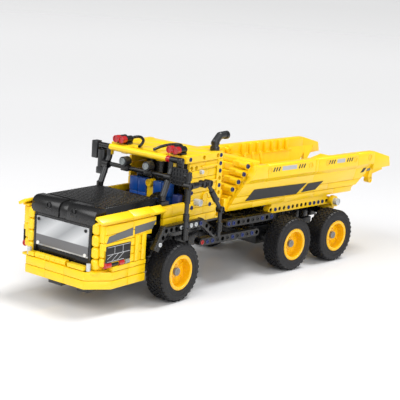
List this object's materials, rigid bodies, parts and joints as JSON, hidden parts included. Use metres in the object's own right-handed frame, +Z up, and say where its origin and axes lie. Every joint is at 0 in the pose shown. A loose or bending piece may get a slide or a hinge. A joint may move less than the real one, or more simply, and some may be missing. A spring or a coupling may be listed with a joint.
{
  "type": "brick-built toy articulated dump truck",
  "caption": "Brick-built toy articulated dump truck: steerable cab unit on a pin hinge, rolling wheels and a tipping bed raised by a cylinder.",
  "frame": {"origin": "on the ground, under the middle of the overall length and width of the truck as it is parked, its front unit turned 6.3 degrees to the left", "axes": "+Z up, -Y towards the front bumper, +Y towards the bed's tail, +X towards the truck's left"},
  "size_m": [0.163, 0.517, 0.1655],
  "materials": {
    "black_plastic": "satin moulded plastic",
    "blue_plastic": "glossy moulded plastic",
    "dark_grey_plastic": "satin moulded plastic",
    "light_grey_plastic": "glossy moulded plastic",
    "red_clear": "clear red plastic",
    "silver_print": "printed silver panel",
    "tyre_rubber": "matt block tread",
    "yellow_plastic": "glossy moulded plastic"
  },
  "bodies": {
    "wheel_front_left": {"tyre_front_left": "tyre_rubber", "rim_front_left": "yellow_plastic"},
    "wheel_front_right": {"tyre_front_right": "tyre_rubber", "rim_front_right": "yellow_plastic"},
    "wheel_mid_left": {"tyre_mid_left": "tyre_rubber", "rim_mid_left": "yellow_plastic"},
    "wheel_mid_right": {"tyre_mid_right": "tyre_rubber", "rim_mid_right": "yellow_plastic"},
    "wheel_rear_left": {"tyre_rear_left": "tyre_rubber", "rim_rear_left": "yellow_plastic"},
    "wheel_rear_right": {"tyre_rear_right": "tyre_rubber", "rim_rear_right": "yellow_plastic"},
    "barrel": {"cylinder_barrel": "black_plastic"},
    "rod": {"cylinder_rod": "light_grey_plastic"},
    "bed": {"bed_beams": "yellow_plastic", "bed_floor": "yellow_plastic", "bed_front_wall": "yellow_plastic", "bed_rails": "yellow_plastic", "bed_side_left": "yellow_plastic", "bed_side_right": "yellow_plastic", "cylinder_eye_pin": "light_grey_plastic"},
    "rear_frame": {"axle_mid": "light_grey_plastic", "axle_rear": "light_grey_plastic", "bed_hinge_pins": "light_grey_plastic", "bogie_beams": "black_plastic", "hinge_brackets": "yellow_plastic", "rear_frame": "black_plastic", "side_beams": "black_plastic", "steering_pin": "black_plastic", "step_beams": "black_plastic"},
    "front_unit": {"axle_front": "light_grey_plastic", "beacons": "red_clear", "bumper": "yellow_plastic", "cab_floor": "black_plastic", "cab_rear_wall": "yellow_plastic", "cab_wall_left": "yellow_plastic", "cab_wall_right": "yellow_plastic", "cross_bar": "black_plastic", "exhaust": "dark_grey_plastic", "fender_left": "yellow_plastic", "fender_right": "yellow_plastic", "front_frame": "black_plastic", "grille_frame": "black_plastic", "grille_panel": "silver_print", "handrail_left": "dark_grey_plastic", "headlights": "red_clear", "hood": "black_plastic", "hood_front": "black_plastic", "mirror_left": "dark_grey_plastic", "mirror_right": "dark_grey_plastic", "mudguard_left": "black_plastic", "mudguard_right": "black_plastic", "nose_frame": "yellow_plastic", "pillars": "dark_grey_plastic", "roof": "yellow_plastic", "roof_tube": "yellow_plastic", "seats": "blue_plastic", "steering_wheel": "black_plastic"}
  },
  "joints": [
    {"name": "front_left_wheel_spin", "type": "hinge", "parent": "front_unit", "child": "wheel_front_left", "pos_m": [0.06662, -0.13799, 0.031], "axis": [0.994, 0.1097, 0], "continuous": true},
    {"name": "front_right_wheel_spin", "type": "hinge", "parent": "front_unit", "child": "wheel_front_right", "pos_m": [-0.05663, -0.1516, 0.031], "axis": [0.994, 0.1097, 0], "continuous": true},
    {"name": "mid_left_wheel_spin", "type": "hinge", "parent": "rear_frame", "child": "wheel_mid_left", "pos_m": [0.05449, 0.06102, 0.031], "axis": [1, 0, 0], "continuous": true},
    {"name": "mid_right_wheel_spin", "type": "hinge", "parent": "rear_frame", "child": "wheel_mid_right", "pos_m": [-0.06951, 0.06102, 0.031], "axis": [1, 0, 0], "continuous": true},
    {"name": "rear_left_wheel_spin", "type": "hinge", "parent": "rear_frame", "child": "wheel_rear_left", "pos_m": [0.05449, 0.14002, 0.031], "axis": [1, 0, 0], "continuous": true},
    {"name": "rear_right_wheel_spin", "type": "hinge", "parent": "rear_frame", "child": "wheel_rear_right", "pos_m": [-0.06951, 0.14002, 0.031], "axis": [1, 0, 0], "continuous": true},
    {"name": "articulation", "type": "hinge", "parent": "rear_frame", "child": "front_unit", "pos_m": [-0.00751, -0.03148, 0.051], "axis": [0, 0, 1], "range_deg": [-24.3, 11.7]},
    {"name": "bed_tip", "type": "hinge", "parent": "rear_frame", "child": "bed", "pos_m": [-0.00751, 0.15552, 0.0685], "axis": [-1, 0, 0], "range_deg": [0, 50]},
    {"name": "barrel_swing", "type": "hinge", "parent": "rear_frame", "child": "barrel", "pos_m": [-0.00751, -0.00148, 0.046], "axis": [1, 0, 0], "range_deg": [0, 8.36]},
    {"name": "rod_extend", "type": "slide", "parent": "barrel", "child": "rod", "axis": [0, 0.9872, 0.1595], "range_m": [0, 0.01179]}
  ],
  "couplings": [
    {"joint": "barrel_swing", "follows": "bed_tip", "ratio": 0.16721},
    {"joint": "rod_extend", "follows": "bed_tip", "m_per_rad": 0.013513}
  ]
}
